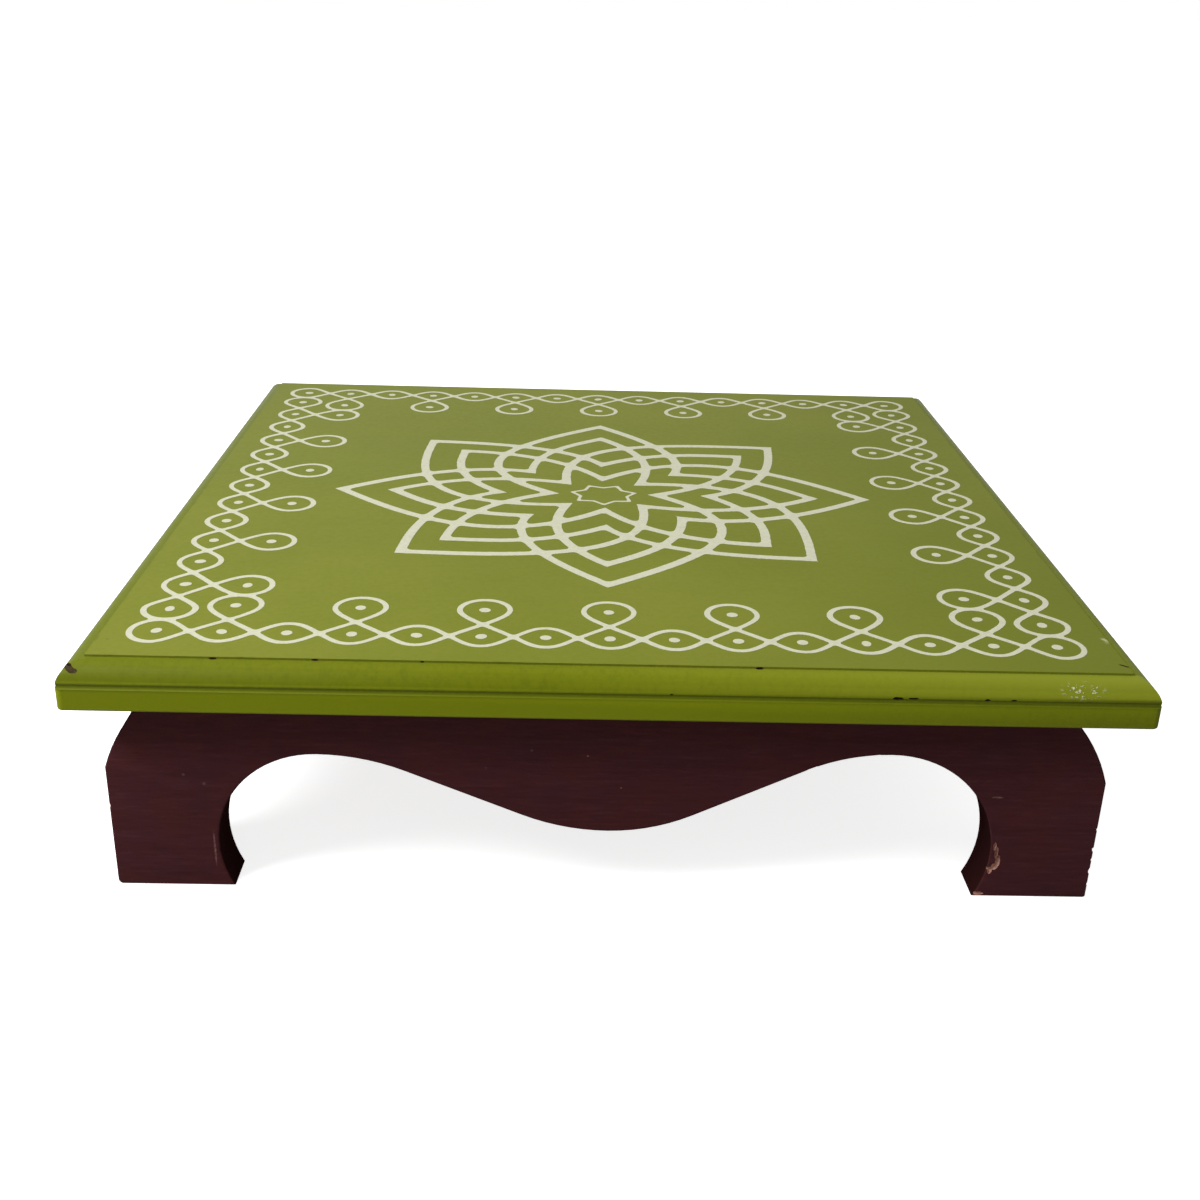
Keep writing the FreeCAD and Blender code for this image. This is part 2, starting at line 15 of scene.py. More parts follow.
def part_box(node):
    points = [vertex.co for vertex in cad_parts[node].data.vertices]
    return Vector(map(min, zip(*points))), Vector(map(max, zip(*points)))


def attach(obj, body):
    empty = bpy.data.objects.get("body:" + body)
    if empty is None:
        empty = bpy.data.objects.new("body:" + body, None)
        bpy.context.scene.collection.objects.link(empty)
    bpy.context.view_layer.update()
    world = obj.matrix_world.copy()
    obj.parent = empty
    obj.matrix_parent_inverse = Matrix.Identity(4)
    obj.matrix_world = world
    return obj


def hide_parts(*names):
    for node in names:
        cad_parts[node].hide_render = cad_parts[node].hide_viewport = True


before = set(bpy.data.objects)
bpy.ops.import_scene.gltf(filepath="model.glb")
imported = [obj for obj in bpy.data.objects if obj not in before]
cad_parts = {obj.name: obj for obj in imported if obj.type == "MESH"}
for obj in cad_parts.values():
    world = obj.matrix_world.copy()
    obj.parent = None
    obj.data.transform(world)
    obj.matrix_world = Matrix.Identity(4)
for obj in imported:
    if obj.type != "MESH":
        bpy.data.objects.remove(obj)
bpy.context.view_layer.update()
MM = 0.001
TOP_LOW, TOP_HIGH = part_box("top_board")
FLOOR_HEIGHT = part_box("front_board")[0].z
HALF_TOP = TOP_HIGH.x
TOP_HEIGHT = TOP_HIGH.z
print("nodes:", ", ".join(sorted(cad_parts)))


# %% [markdown]
# Shader graphs get long when every node takes five lines, so a few helpers come first. They add a node
# and wire or set its inputs by name, calculate with numbers, and blend colours. Colours are written the
# way a paint chart gives them, from 0 to 255, and turned into the linear values that light uses.

# %% Helpers for shader graphs
def colour(red, green, blue):
    """A colour as it is seen, 0 to 255, turned into linear light."""
    seen = [channel / 255 for channel in (red, green, blue)]
    return [c / 12.92 if c <= 0.04045 else ((c + 0.055) / 1.055) ** 2.4 for c in seen] + [1.0]


def feed(material, socket, value):
    """Wires a socket to another node's output, or sets it to a plain value."""
    if isinstance(value, bpy.types.NodeSocket):
        material.node_tree.links.new(value, socket)
    else:
        socket.default_value = value


def add(material, kind, settings=None, **inputs):
    """A new shader node. An underscore in an input's name stands for a space."""
    node = material.node_tree.nodes.new("ShaderNode" + kind)
    for name, value in (settings or {}).items():
        setattr(node, name, value)
    for name, value in inputs.items():
        feed(material, node.inputs[name.replace("_", " ")], value)
    return node


def sums(material, operation, *values, clamp=False):
    """A Math node on one, two or three numbers."""
    node = add(material, "Math", {"operation": operation, "use_clamp": clamp})
    for socket, value in zip(node.inputs, values):
        feed(material, socket, value)
    return node.outputs[0]


def both(material, first, second):
    """The share where two masks hold at once, or a mask made weaker by a number."""
    return sums(material, "MULTIPLY", first, second)


def spread(material, value, low, high, to_low=0.0, to_high=1.0, smooth=False):
    """Maps the range from low to high onto another one, and stops at its ends."""
    kind = "SMOOTHSTEP" if smooth else "LINEAR"
    node = add(material, "MapRange", {"interpolation_type": kind})
    for place, number in enumerate((value, low, high, to_low, to_high)):
        feed(material, node.inputs[place], number)
    return node.outputs[0]


def blend(material, share, first, second):
    """Mixes two colours: none of the second at a share of 0, and nothing else at 1."""
    node = add(material, "Mix", {"data_type": "RGBA", "blend_type": "MIX"})
    for place, value in ((0, share), (6, first), (7, second)):
        feed(material, node.inputs[place], value)
    return node.outputs[2]


def layered(material, body, coats):
    """Lays coats over a colour, one after the other. Each is a share and a colour."""
    for share, coat in coats:
        body = blend(material, share, body, coat)
    return body


# %% [markdown]
# The next helpers start a material on a principled shader, give it noise, flecks and streaks, and stack
# bumps for the relief that is too fine to model.

# %% Helpers for a material
def new_paint(name, **surface):
    """A material with one principled shader, and the shader itself."""
    material = bpy.data.materials.new(name)
    material.use_nodes = True
    nodes = material.node_tree.nodes
    nodes.clear()
    shader = nodes.new("ShaderNodeBsdfPrincipled")
    result = nodes.new("ShaderNodeOutputMaterial")
    material.node_tree.links.new(shader.outputs["BSDF"], result.inputs["Surface"])
    for socket, value in surface.items():
        feed(material, shader.inputs[socket.replace("_", " ")], value)
    return material, shader


def stretched(material, place, scale):
    """The place on the piece, squeezed by a scale along each axis, for streaks and grain."""
    return add(material, "Mapping", {"vector_type": "POINT"}, Vector=place, Scale=scale).outputs[0]


def noise(material, place, scale, detail=3.0, rough=0.5):
    """Cloudy noise about 0.5. A larger scale makes it finer, and detail adds finer noise to it."""
    node = add(material, "TexNoise", Vector=place, Scale=scale, Detail=detail, Roughness=rough)
    return node.outputs[0]


def flecks(material, place, scale, reach):
    """Small round flecks. The reach says how far out they start and how far in they are full."""
    cells = add(material, "TexVoronoi", Vector=place, Scale=scale, Randomness=1.0)
    return spread(material, cells.outputs["Distance"], *reach)


def streaked(along, long, thin):
    """The scale of a noise whose streaks run along X or along Y."""
    return (long, thin, thin) if along == "X" else (thin, long, thin)


def wood_grain(material, place, along):
    """Long streaks and pores, along X or Y, as a number from 0 to 1."""
    squeezed = stretched(material, place, streaked(along, 9.0, 260.0))
    return noise(material, squeezed, 1.0, detail=6.0, rough=0.62)


def relief(material, shader, layers):
    """Stacks bumps. Each layer is a height and its depth in metres."""
    normal = None
    for height, depth in layers:
        bump = add(material, "Bump", Height=height, Distance=depth)
        if normal is not None:
            feed(material, bump.inputs["Normal"], normal)
        normal = bump.outputs[0]
    feed(material, shader.inputs["Normal"], normal)


# %% [markdown]
# Wear, dirt and thick paint gather at certain places: in a step, at a height above the floor, or round
# one spot. All of these can be found from the place on the piece itself, so nothing has to be painted by
# hand. Each function here gives a number from 0 to 1, which then is the share of a blend.

# %% Masks from the place on a piece
MARK_HEART = 0.45


def split(material, vector):
    """The three numbers of a place or a direction."""
    return add(material, "SeparateXYZ", Vector=vector).outputs


def vectors(material, operation, first, second):
    """A Vector Math node on two vectors."""
    node = add(material, "VectorMath", {"operation": operation})
    feed(material, node.inputs[0], first)
    feed(material, node.inputs[1], second)
    return node.outputs[0]


def length(material, vector):
    return add(material, "VectorMath", {"operation": "LENGTH"}, Vector=vector).outputs["Value"]


def distances(material, place):
    """How far out of the middle a place lies, by the larger of X and Y, and how high."""
    parts = split(material, place)
    across = sums(material, "ABSOLUTE", parts[0])
    along = sums(material, "ABSOLUTE", parts[1])
    return sums(material, "MAXIMUM", across, along), parts[2]


def near(material, value, place, reach):
    """One at a place, down to nothing at a distance from it."""
    apart = sums(material, "ABSOLUTE", sums(material, "SUBTRACT", value, place))
    return spread(material, apart, reach, 0.0, smooth=True)


def mark(material, place, centre, size):
    """One in the heart of a mark, down to nothing at its outline, which is an ellipsoid."""
    apart = vectors(material, "SUBTRACT", place, centre)
    far = length(material, vectors(material, "DIVIDE", apart, size))
    return spread(material, far, 1.0, MARK_HEART, smooth=True)


# %% [markdown]
# The top is in green enamel, which has dried to a satin sheen. On the flat it is worn in soft clouds, the
# brush left faint streaks along the board, and towards the right front corner it is painted darker, as
# shade. It is also darker in two places: the quirk, which is the step where the flat meets the moulding,
# and the foot of the ovolo, which is the round part of the moulding. A noise breaks these lines up.

# %% Green enamel on the flat
QUIRK = HALF_TOP - 9.0 * MM
OVOLO_FOOT = TOP_HEIGHT - 7.4 * MM
GREEN = colour(123, 131, 21)
GREEN_WORN = colour(132, 138, 35)
GREEN_DEEP_AND_SHADE = colour(108, 119, 14)
DARK_OLIVE = colour(66, 64, 16)
# where the painted shade towards the right front starts and is at its full, along the board and from back
# to front
SHADE_ALONG = (0.02, 0.19)
SHADE_BACK_TO_FRONT = (0.07, -0.12)


def enamel_noises(paint, place):
    """The noises that the enamel's colour and relief share."""
    return {
        "clouds": noise(paint, place, 9.0, detail=4.0, rough=0.55),
        "brush": noise(paint, stretched(paint, place, (22.0, 120.0, 120.0)), 1.0, detail=5.0, rough=0.6),
        "grain": wood_grain(paint, place, "X"),
        "dust": noise(paint, place, 1500.0, detail=2.0),
        "peel": noise(paint, place, 420.0, rough=0.6),
        "broken": noise(paint, place, 85.0, detail=5.0, rough=0.7),
    }


def darker_lines(paint, broken, reach, height):
    """Darker lines in the quirk and at the ovolo's foot, broken up."""
    crease = near(paint, reach, QUIRK, 1.1 * MM)
    on_top = spread(paint, height, TOP_HEIGHT - 1.3 * MM, TOP_HEIGHT - 0.6 * MM)
    foot = near(paint, height, OVOLO_FOOT, 1.0 * MM)
    lines = sums(paint, "MAXIMUM", both(paint, crease, on_top), foot)
    return both(paint, lines, spread(paint, broken, 0.52, 0.72, to_high=0.45))


def enamel_body(paint, place, cover):
    """The green of the flat, with its wear, dirt and darker lines, and a painted shade towards the right
    front.
    """
    reach, height = distances(paint, place)
    along, back_to_front = split(paint, place)[:2]
    in_patches = spread(paint, cover["broken"], 0.56, 0.62)
    spots = both(paint, flecks(paint, place, 95.0, (0.075, 0.045)), in_patches)
    to_the_right = spread(paint, along, *SHADE_ALONG, to_high=0.65)
    to_the_front = spread(paint, back_to_front, *SHADE_BACK_TO_FRONT)
    body = blend(paint, spread(paint, cover["clouds"], 0.35, 0.68), GREEN, GREEN_WORN)
    return layered(paint, body, [
        (spread(paint, cover["brush"], 0.45, 0.78, to_high=0.10), GREEN_DEEP_AND_SHADE),
        # the quirk and the ovolo's foot made darker
        (darker_lines(paint, cover["broken"], reach, height), DARK_OLIVE),
        (both(paint, spots, 0.55), DARK_OLIVE),
        (spread(paint, cover["peel"], 0.45, 0.70, to_high=0.14), GREEN_DEEP_AND_SHADE),
        # painted shade: darker towards the right front corner
        (both(paint, to_the_right, to_the_front), GREEN_DEEP_AND_SHADE),
    ])


print("quirk:", round(QUIRK / MM, 2), "mm from the middle")


# %% [markdown]
# The moulding takes a green of its own, with less blue, and its paint is stippled all round. Shade is
# painted
# on it: the hollow under the ovolo is painted darker, and so is the left of the ovolo. Light is painted on
# it
# too: the band below the ovolo is painted brighter, most towards the left, and the ovolo's right front end
# and the band's bottom rim are painted lighter, as a highlight.

# %% Green enamel on the moulding
BAND_TOP = TOP_HEIGHT - 9.3 * MM
GREEN_EDGE = colour(121, 130, 6)
GREEN_BAND_PAINTED_LIGHT = colour(141, 152, 10)
GREEN_PAINTED_HIGHLIGHT = colour(150, 158, 40)
GREEN_STIPPLE_AND_SHADE = colour(88, 98, 8)


def enamel_moulding(paint, place, body):
    """The colours of the moulding over those of the flat."""
    reach, height = distances(paint, place)
    along, back_to_front = split(paint, place)[:2]
    edge = spread(paint, reach, QUIRK, QUIRK + 0.5 * MM)
    ovolo = both(paint, edge, spread(paint, height, OVOLO_FOOT, OVOLO_FOOT + 1.5 * MM))
    front = both(paint, ovolo, spread(paint, back_to_front, -QUIRK + 1.0 * MM, -QUIRK))
    hollow = both(paint, edge, near(paint, height, OVOLO_FOOT - 1.0 * MM, 2.3 * MM))
    band = both(paint, edge, spread(paint, height, BAND_TOP + 0.6 * MM, BAND_TOP - 0.6 * MM))
    rim = both(paint, edge, near(paint, height, TOP_LOW.z + 0.5 * MM, 0.9 * MM))
    stipple = noise(paint, stretched(paint, place, (520.0, 300.0, 300.0)), 1.0, detail=4.0, rough=0.7)
    return layered(paint, body, [
        (both(paint, edge, 0.85), GREEN_EDGE),
        (both(paint, edge, spread(paint, stipple, 0.46, 0.70, to_high=0.34)), GREEN_STIPPLE_AND_SHADE),
        # painted shade: the ovolo darker towards its left end
        (both(paint, ovolo, spread(paint, along, 0.06, -0.19, to_high=0.34)), GREEN_STIPPLE_AND_SHADE),
        # painted highlight: the ovolo lighter towards its right front end
        (both(paint, front, spread(paint, along, -0.02, 0.17, to_high=0.75)), GREEN_PAINTED_HIGHLIGHT),
        # painted light: the band brighter, most towards the left
        (both(paint, band, spread(paint, along, 0.17, 0.02, 0.25, 0.95)), GREEN_BAND_PAINTED_LIGHT),
        # painted shade in the hollow under the ovolo
        (both(paint, hollow, 0.58), GREEN_STIPPLE_AND_SHADE),
        # painted highlight along the band's bottom rim
        (both(paint, rim, 0.30), GREEN_PAINTED_HIGHLIGHT),
    ])


print("band: from", round(BAND_TOP / MM, 2), "mm down")


# %% [markdown]
# Two spots of pale paint are left to set: a crust on the moulding near its right front corner, whose
# glitter is a painted highlight of pale specks, and a fleck on the flat. Underneath, the paint only laps in
# over the rim, and the rest is bare wood. The shader has little specular light, a soft sheen, and a clear
# coat only on the crust.

# %% The finished enamel
PALE_PAINT_AND_GLINT = colour(244, 244, 200)
BARE = colour(176, 138, 98)
BARE_DARK = colour(150, 112, 74)
# each mark's place, and half its size along each axis
CRUST = (162.5 * MM, -187.5 * MM, 90.3 * MM)
CRUST_SIZE = (9.5 * MM, 4.5 * MM, 3.8 * MM)
SPLASH = (180.3 * MM, -154.6 * MM, 94.4 * MM)
SPLASH_SIZE = (1.7 * MM, 3.2 * MM, 1.5 * MM)


def bare_underside(paint, place, broken):
    """One where the paint doesn't reach: faces that point down, behind an uneven lap of paint."""
    faces = split(paint, add(paint, "NewGeometry").outputs["Normal"])[2]
    reach = distances(paint, place)[0]
    lap = sums(paint, "ADD", reach, both(paint, broken, 14.0 * MM))
    behind_lap = spread(paint, lap, HALF_TOP - 1.0 * MM, HALF_TOP - 3.0 * MM)
    return both(paint, spread(paint, faces, -0.75, -0.92), behind_lap)


def green_enamel():
    paint, shader = new_paint(
        "green_enamel", IOR=1.46, Specular_IOR_Level=0.12, Coat_Roughness=0.12,
        Sheen_Weight=0.16, Sheen_Roughness=0.4)
    place = add(paint, "TexCoord").outputs["Object"]
    cover = enamel_noises(paint, place)
    crystals = noise(paint, stretched(paint, place, (620.0, 900.0, 900.0)), 1.0, detail=2.0, rough=0.6)
    crust = both(paint, mark(paint, place, CRUST, CRUST_SIZE), spread(paint, crystals, 0.57, 0.62))
    uneven = spread(paint, cover["peel"], 0.42, 0.60, to_high=0.4)
    splash = both(paint, mark(paint, place, SPLASH, SPLASH_SIZE), uneven)
    bare = bare_underside(paint, place, cover["broken"])
    body = enamel_moulding(paint, place, enamel_body(paint, place, cover))
    body = layered(paint, body, [
        (splash, PALE_PAINT_AND_GLINT),
        # painted highlight: the crust's glints as pale specks
        (both(paint, crust, 0.8), PALE_PAINT_AND_GLINT),
        (bare, blend(paint, cover["grain"], BARE_DARK, BARE)),
    ])
    feed(paint, shader.inputs["Base Color"], body)

    gloss = spread(paint, sums(paint, "ADD", cover["clouds"], cover["peel"]), 0.7, 1.35, 0.44, 0.58)
    feed(paint, shader.inputs["Roughness"], sums(paint, "MAXIMUM", gloss, both(paint, bare, 0.8)))
    feed(paint, shader.inputs["Coat Weight"], crust)
    relief(paint, shader, [
        (cover["grain"], 0.02 * MM), (cover["brush"], 0.01 * MM), (cover["peel"], 0.06 * MM),
        (cover["dust"], 0.02 * MM), (crust, 0.25 * MM),
    ])
    return paint


enamel = green_enamel()
print("green enamel:", len(enamel.node_tree.nodes), "nodes")


# %% [markdown]
# The base is under a dark maroon paint, brushed on along each board and a little thin. It is duller than
# the enamel, mottled where the wood drank it, and rubbed paler along the softened edges. A board's face
# points straight at one side and the saw cut points at right angles to it, so only the rounded edge has a
# normal in between. That finds the edges, and the sawn faces too, which are painted darker, as shade, and
# made rougher. The front and back boards have their grain along X, and the side boards along Y.

# %% Maroon paint
MAROON = colour(90, 47, 48)
MAROON_COOL = colour(83, 46, 52)
MAROON_DARK = colour(68, 33, 34)
SAWN_PAINTED_SHADE = colour(54, 25, 25)
RUBBED = colour(112, 72, 74)
SCRATCHED = colour(172, 128, 124)
SCUFFS = [
    # place, and half its size along each axis
    ((-143.3, -180.0, 16.0), (0.5, 2.0, 9.0)),
    ((141.2, -180.0, 42.7), (2.8, 2.0, 0.5)),
    ((-8.0, -180.0, 57.1), (0.5, 1.0, 0.5)),
    ((4.3, -180.0, 44.2), (0.5, 1.0, 0.4)),
]


def edge_and_cut(paint, along):
    """One on the rounded edges, and one on the sawn faces, of a board that lies along X or Y."""
    normal = split(paint, add(paint, "NewGeometry").outputs["Normal"])
    lean = sums(paint, "ABSOLUTE", normal["Y" if along == "X" else "X"])
    edge = both(paint, spread(paint, lean, 0.10, 0.35), spread(paint, lean, 0.95, 0.75))
    return edge, spread(paint, lean, 0.75, 0.35)


def maroon_paint(name, along):
    paint, shader = new_paint(name, IOR=1.45, Specular_IOR_Level=0.03)
    place = add(paint, "TexCoord").outputs["Object"]
    mottle = noise(paint, place, 60.0, detail=6.0, rough=0.68)
    fine = noise(paint, place, 900.0)
    grain = wood_grain(paint, place, along)
    brush = noise(paint, stretched(paint, place, streaked(along, 11.0, 190.0)), 1.0, detail=5.0, rough=0.6)
    hairs = noise(paint, stretched(paint, place, streaked(along, 88.0, 760.0)), 1.0, rough=0.6)
    specks = both(paint, flecks(paint, place, 75.0, (0.060, 0.035)), spread(paint, mottle, 0.50, 0.56))
    edge, sawn = edge_and_cut(paint, along)
    chafed = both(paint, edge, spread(paint, mottle, 0.56, 0.66, to_high=0.6))
    patchy = spread(paint, fine, 0.38, 0.6, 0.1, 0.65)
    scuffs = [mark(paint, place, Vector(centre) * MM, Vector(size) * MM) for centre, size in SCUFFS]

    body = blend(paint, spread(paint, mottle, 0.38, 0.64), MAROON, MAROON_COOL)
    body = layered(paint, body, [
        (spread(paint, brush, 0.42, 0.74, to_high=0.30), MAROON_DARK),
        (spread(paint, grain, 0.62, 0.76, to_high=0.40), MAROON_DARK),
        (spread(paint, hairs, 0.50, 0.72, to_high=0.30), MAROON_DARK),
        (spread(paint, hairs, 0.44, 0.26, to_high=0.20), RUBBED),
        (both(paint, specks, 0.20), SCRATCHED),
        # painted shade: the sawn faces darker
        (sawn, SAWN_PAINTED_SHADE),
    ])
    body = layered(paint, body, [(both(paint, scuff, patchy), SCRATCHED) for scuff in scuffs])
    feed(paint, shader.inputs["Base Color"], blend(paint, chafed, body, RUBBED))
    dull = spread(paint, sums(paint, "ADD", mottle, brush), 0.7, 1.3, 0.55, 0.72)
    feed(paint, shader.inputs["Roughness"], sums(paint, "ADD", dull, both(paint, sawn, 0.3), clamp=True))
    relief(paint, shader, [(grain, 0.10 * MM), (brush, 0.07 * MM), (fine, 0.02 * MM)])
    return paint


maroon_long = maroon_paint("maroon_paint_long", "X")
maroon_side = maroon_paint("maroon_paint_side", "Y")
print("maroon paint:", len(maroon_long.node_tree.nodes), "nodes for each way of the grain")


# %% [markdown]
# Where paint was knocked off, the wood shows: pale and pinkish inside a fresh chip, and brown with dirt
# in an old nick. The corner blocks and dowels were never painted and show saw marks across their grain.
# The screws are zinc plated, in patches of paler and duller grey.

# %% Bare wood and steel
def bare_wood(name, pale, dark, rough):
    wood, shader = new_paint(name, Specular_IOR_Level=0.25)
    place = add(wood, "TexCoord").outputs["Object"]
    grain = wood_grain(wood, place, "X")
    fibres = noise(wood, stretched(wood, place, (60.0, 900.0, 900.0)), 1.0, detail=4.0, rough=0.7)
    wave = add(wood, "TexWave", {"bands_direction": "Z"}, Vector=place, Scale=130.0, Distortion=1.5)
    body = blend(wood, spread(wood, grain, 0.35, 0.7), pale, dark)
    body = blend(wood, spread(wood, fibres, 0.5, 0.8, to_high=0.4), body, dark)
    feed(wood, shader.inputs["Base Color"], body)
    feed(wood, shader.inputs["Roughness"], spread(wood, fibres, 0.3, 0.7, rough, 0.92))
    relief(wood, shader, [(grain, 0.12 * MM), (fibres, 0.08 * MM), (wave.outputs[1], 0.04 * MM)])
    return wood


def zinc_plate():
    plate, shader = new_paint("zinc_plate", Metallic=1.0)
    place = add(plate, "TexCoord").outputs["Object"]
    patches = noise(plate, place, 700.0, detail=4.0)
    greys = blend(plate, patches, colour(205, 203, 196), colour(176, 170, 150))
    feed(plate, shader.inputs["Base Color"], greys)
    feed(plate, shader.inputs["Roughness"], spread(plate, patches, 0.3, 0.7, 0.26, 0.45))
    relief(plate, shader, [(patches, 0.02 * MM)])
    return plate


block_wood = bare_wood("sawn_wood", colour(186, 146, 102), colour(140, 100, 62), 0.7)
chip_wood = bare_wood("chipped_wood", colour(216, 166, 146), colour(150, 98, 82), 0.65)
nick_wood = bare_wood("dirty_nick", colour(80, 64, 28), colour(46, 33, 19), 0.7)
zinc = zinc_plate()
print("bare:", block_wood.name, chip_wood.name, nick_wood.name, zinc.name)


# %% [markdown]
# The kolam is in a thick off-white paint, drawn over the green. It covers well in the middle of a line
# and a little less where the brush lifted, so some green comes through. It is flatter than the enamel,
# with fine ridges in it.

# %% White kolam paint
KOLAM_WHITE = colour(220, 220, 192)
KOLAM_GREY = colour(208, 208, 184)
KOLAM_THIN = colour(176, 180, 128)


def kolam_paint():
    paint, shader = new_paint("kolam_paint", Specular_IOR_Level=0.15)
    place = add(paint, "TexCoord").outputs["Object"]
    thickness = noise(paint, place, 120.0, detail=5.0, rough=0.6)
    ridges = noise(paint, place, 800.0, rough=0.6)
    white = blend(paint, spread(paint, ridges, 0.35, 0.7), KOLAM_WHITE, KOLAM_GREY)
    thin = spread(paint, thickness, 0.60, 0.74, to_high=0.30)
    feed(paint, shader.inputs["Base Color"], blend(paint, thin, white, KOLAM_THIN))
    feed(paint, shader.inputs["Roughness"], spread(paint, thickness, 0.3, 0.7, 0.42, 0.6))
    relief(paint, shader, [(thickness, 0.03 * MM), (ridges, 0.015 * MM)])
    return paint


white_paint = kolam_paint()
print("kolam paint:", len(white_paint.node_tree.nodes), "nodes")


# %% [markdown]
# Every piece of the joinery gets its paint now. Only the material slots change, and the meshes stay as
# they are. The top and the front board are painted too, though worn copies will take their places.

# %% Paint on the joinery
FINISHES = {
    "back_board": maroon_long, "left_board": maroon_side, "right_board": maroon_side,
    "front_left_block": block_wood, "front_right_block": block_wood,
    "back_right_block": block_wood, "back_left_block": block_wood,
    "joint_dowels": block_wood, "top_screws": zinc, "front_board": maroon_long, "top_board": enamel,
}
for name, material in FINISHES.items():
    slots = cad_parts[name].data.materials
    slots.clear()
    slots.append(material)
print("painted as built:", len(FINISHES), "pieces")


# %% [markdown]
# The top and the front board show their age in their shape as well. That work is done on copies, whose
# loose triangles are first joined into one skin. The flat of the top is let down by a tenth of a
# millimetre, which the kolam's coat of paint fills, so the table gets no higher than it was built.

# %% A copy of a board to work on
PAINT_FILM = 0.10 * MM
SAME_POINT = 0.001 * MM


def only(piece):
    """Makes one piece the selected and active one."""
    bpy.ops.object.select_all(action="DESELECT")
    piece.select_set(True)
    bpy.context.view_layer.objects.active = piece


def join_points(piece, distance):
    """Joins the points of a piece that lie within a distance of each other."""
    only(piece)
    bpy.ops.object.mode_set(mode="EDIT")
    bpy.ops.mesh.select_all(action="SELECT")
    bpy.ops.mesh.remove_doubles(threshold=distance)
    bpy.ops.mesh.select_all(action="DESELECT")
    bpy.ops.object.mode_set(mode="OBJECT")


def working_copy(node, name):
    """A copy of a built piece whose loose triangles are joined into one skin."""
    piece = bpy.data.objects.new(name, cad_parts[node].data.copy())
    bpy.context.scene.collection.objects.link(piece)
    join_points(piece, SAME_POINT)
    bpy.ops.mesh.customdata_custom_splitnormals_clear()
    return piece


painted_top = working_copy("top_board", "painted_top")
for point in painted_top.data.vertices:
    point.select = point.co.z > TOP_HEIGHT - SAME_POINT
bpy.context.tool_settings.mesh_select_mode = (True, False, False)
bpy.ops.object.mode_set(mode="EDIT")
bpy.ops.transform.translate(value=(0, 0, -PAINT_FILM))
bpy.ops.object.mode_set(mode="OBJECT")
print("painted top:", len(painted_top.data.polygons), "faces")


# %% [markdown]
# Paint never keeps an edge sharp: it draws back from it and fills the corners beside it. A narrow bevel
# on every edge that turns sharply does the same to the moulding. Where bevels meet at the corners
# of the top they leave points almost on top of each other, which are joined to keep the skin closed.

# %% Edges rounded by the paint
PAINT_ROUND = 0.45 * MM
SHARP_TURN = math.radians(22)
AFTER_A_CUT = 0.002 * MM

film = painted_top.modifiers.new("film", "BEVEL")
film.width = PAINT_ROUND
film.segments = 2
film.limit_method = "ANGLE"
film.angle_limit = SHARP_TURN
bpy.ops.object.modifier_apply(modifier=film.name)
join_points(painted_top, AFTER_A_CUT)
print("rounded top:", len(painted_top.data.polygons), "faces")


# %% [markdown]
# The moulded edge has real nicks. Each is cut out with a small rough lens, much as a knock takes a
# splinter out of a board. A boolean with exact arithmetic does the cutting, and the faces that it leaves
# take the dirty wood from the lens. Most nicks sit on the two edges that stand out: the quirk's and the
# ovolo's foot.

# %% Nicks in the moulded edge
SMOOTH_TURN = math.radians(32)
random.seed(11)


def lens(centre, size, turn=0.0, rough=0.12):
    """A rough lens that cuts a nick. Its size is measured before it is turned about Z."""
    bpy.ops.mesh.primitive_ico_sphere_add(subdivisions=2, radius=0.5, location=(0, 0, 0))
    piece = bpy.context.object
    bpy.ops.object.mode_set(mode="EDIT")
    bpy.ops.mesh.select_all(action="SELECT")
    bpy.ops.transform.vertex_random(offset=rough, seed=random.randint(1, 999))
    bpy.ops.transform.resize(value=Vector(size) * MM, center_override=(0, 0, 0))
    bpy.ops.object.mode_set(mode="OBJECT")
    turned_lens = Matrix.Rotation(math.radians(turn), 4, "Z")
    piece.data.transform(Matrix.Translation(Vector(centre) * MM) @ turned_lens)
    return piece


def carve(piece, cutters, fresh):
    """Cuts all the cutters out of a piece. The cut faces take the fresh material."""
    bpy.ops.object.select_all(action="DESELECT")
    for cutter in cutters:
        cutter.data.materials.append(fresh)
        cutter.select_set(True)
    bpy.context.view_layer.objects.active = cutters[0]
    bpy.ops.object.join()
    tool = bpy.context.object
    only(piece)
    cut = piece.modifiers.new("cut", "BOOLEAN")
    cut.operation = "DIFFERENCE"
    cut.solver = "EXACT"
    cut.material_mode = "TRANSFER"
    cut.use_self = True
    cut.object = tool
    bpy.ops.object.modifier_apply(modifier=cut.name)
    bpy.data.objects.remove(tool)
    join_points(piece, AFTER_A_CUT)


NICKS = [
    # place, size along X, Y and Z, turn
    ((50.7, -181.7, 93.8), (2.8, 1.2, 0.9), 0), ((-137.9, -181.7, 93.8), (3.0, 1.2, 0.8), 0),
    ((-102.8, -181.7, 93.9), (2.4, 1.0, 0.8), 0), ((-66.0, -181.6, 93.9), (1.5, 0.9, 0.7), 0),
    ((98.1, -189.6, 87.1), (4.2, 1.6, 1.3), 0), ((103.4, -189.7, 87.2), (3.8, 1.1, 0.8), 0),
    ((129.1, -189.7, 87.1), (2.0, 1.2, 0.9), 0), ((138.2, -189.7, 87.1), (2.4, 1.1, 0.7), 0),
    ((180.5, -175.8, 94.2), (5.6, 1.1, 1.0), -40), ((20.0, -189.8, 87.1), (1.4, 0.9, 0.6), 0),
    ((-186.6, -185.0, 91.2), (7.5, 3.6, 3.0), -45), ((-184.2, -187.3, 90.9), (3.6, 2.6, 1.8), -20),
]
painted_top.data.materials.clear()
painted_top.data.materials.append(enamel)
carve(painted_top, [lens(*nick) for nick in NICKS], nick_wood)
bpy.ops.object.shade_smooth_by_angle(angle=SMOOTH_TURN)
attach(painted_top, "root")
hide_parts("top_board")
print("nicked top:", len(painted_top.data.polygons), "faces with", len(NICKS), "nicks")


